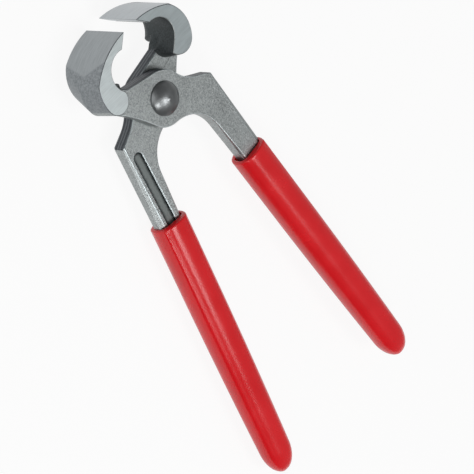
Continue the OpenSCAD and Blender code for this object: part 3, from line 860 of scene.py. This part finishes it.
# Inputs of the sleeve's node group: lengths in millimetres, plain numbers and counts
SLEEVE_LENGTHS = {
    "Mouth Width": GRIP_MOUTH_W, "Full Width": GRIP_W, "End Width": GRIP_END_W,
    "Length": GRIP_LENGTH, "Round End": END_DOME, "Taper Start": TAPER_START,
    "Offset": GRIP_OFFSET, "Lean": GRIP_LEAN, "Centre Height": GRIP_Z,
    "Mouth Reach": MOUTH_REACH, "Gap Depth": GAP_DEPTH,
    "Inner Width": MOUTH_LEVER_W + 2 * MOUTH_GAP,
    "Inner Thickness": PLATE_T - LAP_FACE + 2 * MOUTH_GAP,
    "Lip": LIP_DEPTH, "Lip Side": LIP_SIDE, "Lip Top": LIP_TOP,
    "Ridge": RIDGE, "Ridge Fade": RIDGE_FADE,
}
SLEEVE_NUMBERS = {"Thickness Share": GRIP_THICKNESS_SHARE, "Section Power": GRIP_POWER,
                  "Ridge Angle": RIDGE_ANGLE}
SLEEVE_COUNTS = {"Sides": 144, "Rings": 180}


def sleeve_tree():
    """Geometry nodes that loft a dipped sleeve round a handle, with its lip and round end."""
    tree = bpy.data.node_groups.new("dipped_sleeve", "GeometryNodeTree")
    tree.is_modifier = True
    face = tree.interface
    face.new_socket("Geometry", in_out="OUTPUT", socket_type="NodeSocketGeometry")
    for kind, unit, defaults in (("Float", MM, SLEEVE_LENGTHS), ("Float", 1, SLEEVE_NUMBERS),
                                 ("Int", 1, SLEEVE_COUNTS)):
        for name, value in defaults.items():
            socket = face.new_socket(name, in_out="INPUT", socket_type="NodeSocket" + kind)
            socket.default_value = value * unit
    for name, kind in (("Place", "Vector"), ("Turn", "Vector"), ("Material", "Material")):
        face.new_socket(name, in_out="INPUT", socket_type="NodeSocket" + kind)
    given = add(tree, "NodeGroupInput")

    tube = add(tree, "GeometryNodeMeshCylinder", {"fill_type": "NGON"},
               {"Radius": 1.0, "Depth": 1.0},
               {"Vertices": (given, "Sides"), "Side Segments": (given, "Rings")})
    where = add(tree, "GeometryNodeInputPosition")
    flat = add(tree, "ShaderNodeVectorMath", {"operation": "MULTIPLY"}, {1: (1.0, 1.0, 0.0)},
               {0: (where, 0)})
    outward = add(tree, "ShaderNodeVectorMath", {"operation": "NORMALIZE"}, links={0: (flat, 0)})
    lengthwise = add(tree, "ShaderNodeSeparateXYZ", links={0: (where, 0)})
    crosswise = add(tree, "ShaderNodeSeparateXYZ", links={0: (outward, 0)})

    known = {name: (given, name) for name in {**SLEEVE_LENGTHS, **SLEEVE_NUMBERS}}
    known.update({"along": (lengthwise, 2), "side": (crosswise, 0), "rise": (crosswise, 1)})
    for name, work, *parts in SLEEVE_RULE:
        kind, sockets = RULE_NODES.get(work, ("ShaderNodeMath", range(3)))
        fields = {} if work in RULE_NODES else {"operation": work}
        numbers = {at: part for at, part in zip(sockets, parts) if not isinstance(part, str)}
        sources = {at: known[part] for at, part in zip(sockets, parts) if isinstance(part, str)}
        known[name] = (add(tree, kind, fields, numbers, sources), 0)

    spot = add(tree, "ShaderNodeCombineXYZ",
               links={"X": known["x"], "Y": known["y"], "Z": known["z"]})
    shaped = add(tree, "GeometryNodeSetPosition",
                 links={"Geometry": (tube, "Mesh"), "Position": (spot, 0)})
    placed = add(tree, "GeometryNodeTransform",
                 links={"Geometry": (shaped, 0), "Translation": (given, "Place"),
                        "Rotation": (given, "Turn")})
    closed = add(tree, "GeometryNodeMergeByDistance", values={"Distance": 0.01 * MM},
                 links={"Geometry": (placed, 0)})
    smooth = add(tree, "GeometryNodeSetShadeSmooth", links={"Geometry": (closed, 0)})
    real = add(tree, "GeometryNodeRealizeInstances", links={"Geometry": (smooth, 0)})
    painted = add(tree, "GeometryNodeSetMaterial",
                  links={"Geometry": (real, 0), "Material": (given, "Material")})
    add(tree, "NodeGroupOutput", links={0: (painted, 0)})
    return tree


class NIPPERS_OT_grips(bpy.types.Operator):
    """Dip both handles in glossy vinyl, each sleeve lofted by the same geometry nodes"""
    bl_idname = "nippers.grips"
    bl_label = "Dipped Grips"

    def execute(self, context):
        settings = context.scene.nippers_grip
        vinyl = dipped_vinyl(settings)
        tree = sleeve_tree()
        sockets = {item.name: item.identifier for item in tree.interface.items_tree
                   if item.item_type == "SOCKET" and item.in_out == "INPUT"}
        for name, node, body, turn in (("front_sleeve", "front_grip", "front_half", FRONT_TURN),
                                       ("rear_sleeve", "rear_grip", "rear_half", REAR_TURN)):
            item = keep_object(name + "_work", bpy.data.meshes.new(name + "_work"))
            sleeve = item.modifiers.new("sleeve", "NODES")
            sleeve.node_group = tree
            for label, value in {"Mouth Width": settings.mouth_width,
                                 "Full Width": settings.full_width,
                                 "End Width": settings.end_width,
                                 "Thickness Share": settings.thickness_share,
                                 "Ridge": settings.ridge, "Place": tuple(PIVOT), "Turn": turn,
                                 "Material": vinyl}.items():
                sleeve[sockets[label]] = value
            piece = finished_copy(item, name)
            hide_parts(node)
            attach(piece, body)
        return {"FINISHED"}


def lamp(name, direction, distance, size, radiance):
    """Soft round lamp that shines on the tool from a direction and shows as bright as given."""
    data = bpy.data.lights.new(name, "AREA")
    data.shape = "DISK"
    data.size = size
    data.energy = radiance * (math.pi * size / 2) ** 2
    item = bpy.data.objects.new(name, data)
    bpy.context.scene.collection.objects.link(item)
    towards = Vector(direction).normalized()
    item.location = LAMP_TARGET + towards * distance
    item.rotation_euler = towards.to_track_quat("Z", "Y").to_euler()
    item.visible_camera = False


class NIPPERS_OT_stage(bpy.types.Operator):
    """Lay the pale floor, hang the soft lamps and set up the camera"""
    bl_idname = "nippers.stage"
    bl_label = "Stage and Camera"

    def execute(self, context):
        stage = context.scene.nippers_stage
        context.scene.view_settings.view_transform = "Standard"

        world = bpy.data.worlds.new("studio")
        context.scene.world = world
        world.use_nodes = True
        tree = world.node_tree
        tree.nodes.clear()
        # The studio is brighter behind the tool than on the camera's side
        place = add(tree, "ShaderNodeTexCoord")
        behind = add(tree, "ShaderNodeVectorMath", {"operation": "DOT_PRODUCT"}, {1: BEHIND},
                     {0: (place, "Generated")})
        level = add(tree, "ShaderNodeMapRange",
                    values={"From Min": -0.4, "From Max": 1.0,
                            "To Min": stage.sky_front, "To Max": stage.sky_behind},
                    links={"Value": (behind, "Value")})
        sky = add(tree, "ShaderNodeBackground", links={"Strength": (level, "Result")})
        add(tree, "ShaderNodeOutputWorld", links={"Surface": (sky, "Background")})

        # The camera and the mirroring steel see a nearly white floor, which keeps its shadow
        material, tree = new_material("paper_floor")
        rays = add(tree, "ShaderNodeLightPath")
        seen = add(tree, "ShaderNodeMath", {"operation": "ADD", "use_clamp": True},
                   links={0: (rays, "Is Camera Ray"), 1: (rays, "Is Glossy Ray")})
        seen = add(tree, "ShaderNodeMath", {"operation": "ADD", "use_clamp": True},
                   links={0: (seen, "Value"), 1: (rays, "Is Transmission Ray")})
        share = add(tree, "ShaderNodeMath", {"operation": "MULTIPLY"}, {1: FLOOR_GLOW},
                    {0: (seen, "Value")})
        paper = add(tree, "ShaderNodeBsdfDiffuse", values={"Color": linear(stage.floor_colour)})
        glow = add(tree, "ShaderNodeEmission",
                   values={"Color": (1.0, 1.0, 1.0, 1.0), "Strength": 1.0})
        mixed = add(tree, "ShaderNodeMixShader",
                    links={0: (share, "Value"), 1: (paper, "BSDF"), 2: (glow, "Emission")})
        add(tree, "ShaderNodeOutputMaterial", links={"Surface": (mixed, "Shader")})

        mesh = bpy.data.meshes.new("floor")
        mesh.from_pydata([(-FLOOR_REACH, -FLOOR_REACH, 0), (FLOOR_REACH, -FLOOR_REACH, 0),
                          (FLOOR_REACH, FLOOR_REACH, 0), (-FLOOR_REACH, FLOOR_REACH, 0)],
                         [], [(0, 1, 2, 3)])
        mesh.materials.append(material)
        keep_object("floor", mesh)

        for settings in LAMPS:
            lamp(*settings)

        data = bpy.data.cameras.new("camera")
        data.sensor_width = 36.0
        data.lens = stage.lens
        data.clip_end = 20.0
        camera = bpy.data.objects.new("camera", data)
        context.scene.collection.objects.link(camera)
        axes = Matrix((CAMERA_RIGHT, CAMERA_UP, CAMERA_BACK)).transposed().to_4x4()
        camera.matrix_world = Matrix.Translation(CAMERA_EYE) @ axes
        context.scene.camera = camera
        return {"FINISHED"}


SETTINGS = {"nippers_steel": NIPPERS_PG_steel, "nippers_rivet": NIPPERS_PG_rivet,
            "nippers_grip": NIPPERS_PG_grip, "nippers_stage": NIPPERS_PG_stage}
OPERATORS = (NIPPERS_OT_stage, NIPPERS_OT_halves, NIPPERS_OT_rivet, NIPPERS_OT_grips)


class NIPPERS_PT_panel(bpy.types.Panel):
    """Lists the pieces of the nippers"""
    bl_idname = "NIPPERS_PT_panel"
    bl_label = "End Cutting Nippers"
    bl_space_type = "VIEW_3D"
    bl_region_type = "UI"
    bl_category = "Nippers"

    def draw(self, context):
        layout = self.layout
        for kind in OPERATORS:
            layout.operator(kind.bl_idname)
        for name in SETTINGS:
            group = getattr(context.scene, name)
            box = layout.box()
            for key in group.__annotations__:
                box.prop(group, key)


CLASSES = (*SETTINGS.values(), *OPERATORS, NIPPERS_PT_panel)


def register():
    for kind in CLASSES:
        bpy.utils.register_class(kind)
    for name, kind in SETTINGS.items():
        setattr(bpy.types.Scene, name, bpy.props.PointerProperty(type=kind))


def unregister():
    for name in SETTINGS:
        delattr(bpy.types.Scene, name)
    for kind in reversed(CLASSES):
        bpy.utils.unregister_class(kind)


def main():
    register()
    bpy.ops.nippers.stage()
    bpy.ops.nippers.halves()
    bpy.ops.nippers.rivet()
    bpy.ops.nippers.grips()


if __name__ == "__main__":
    main()
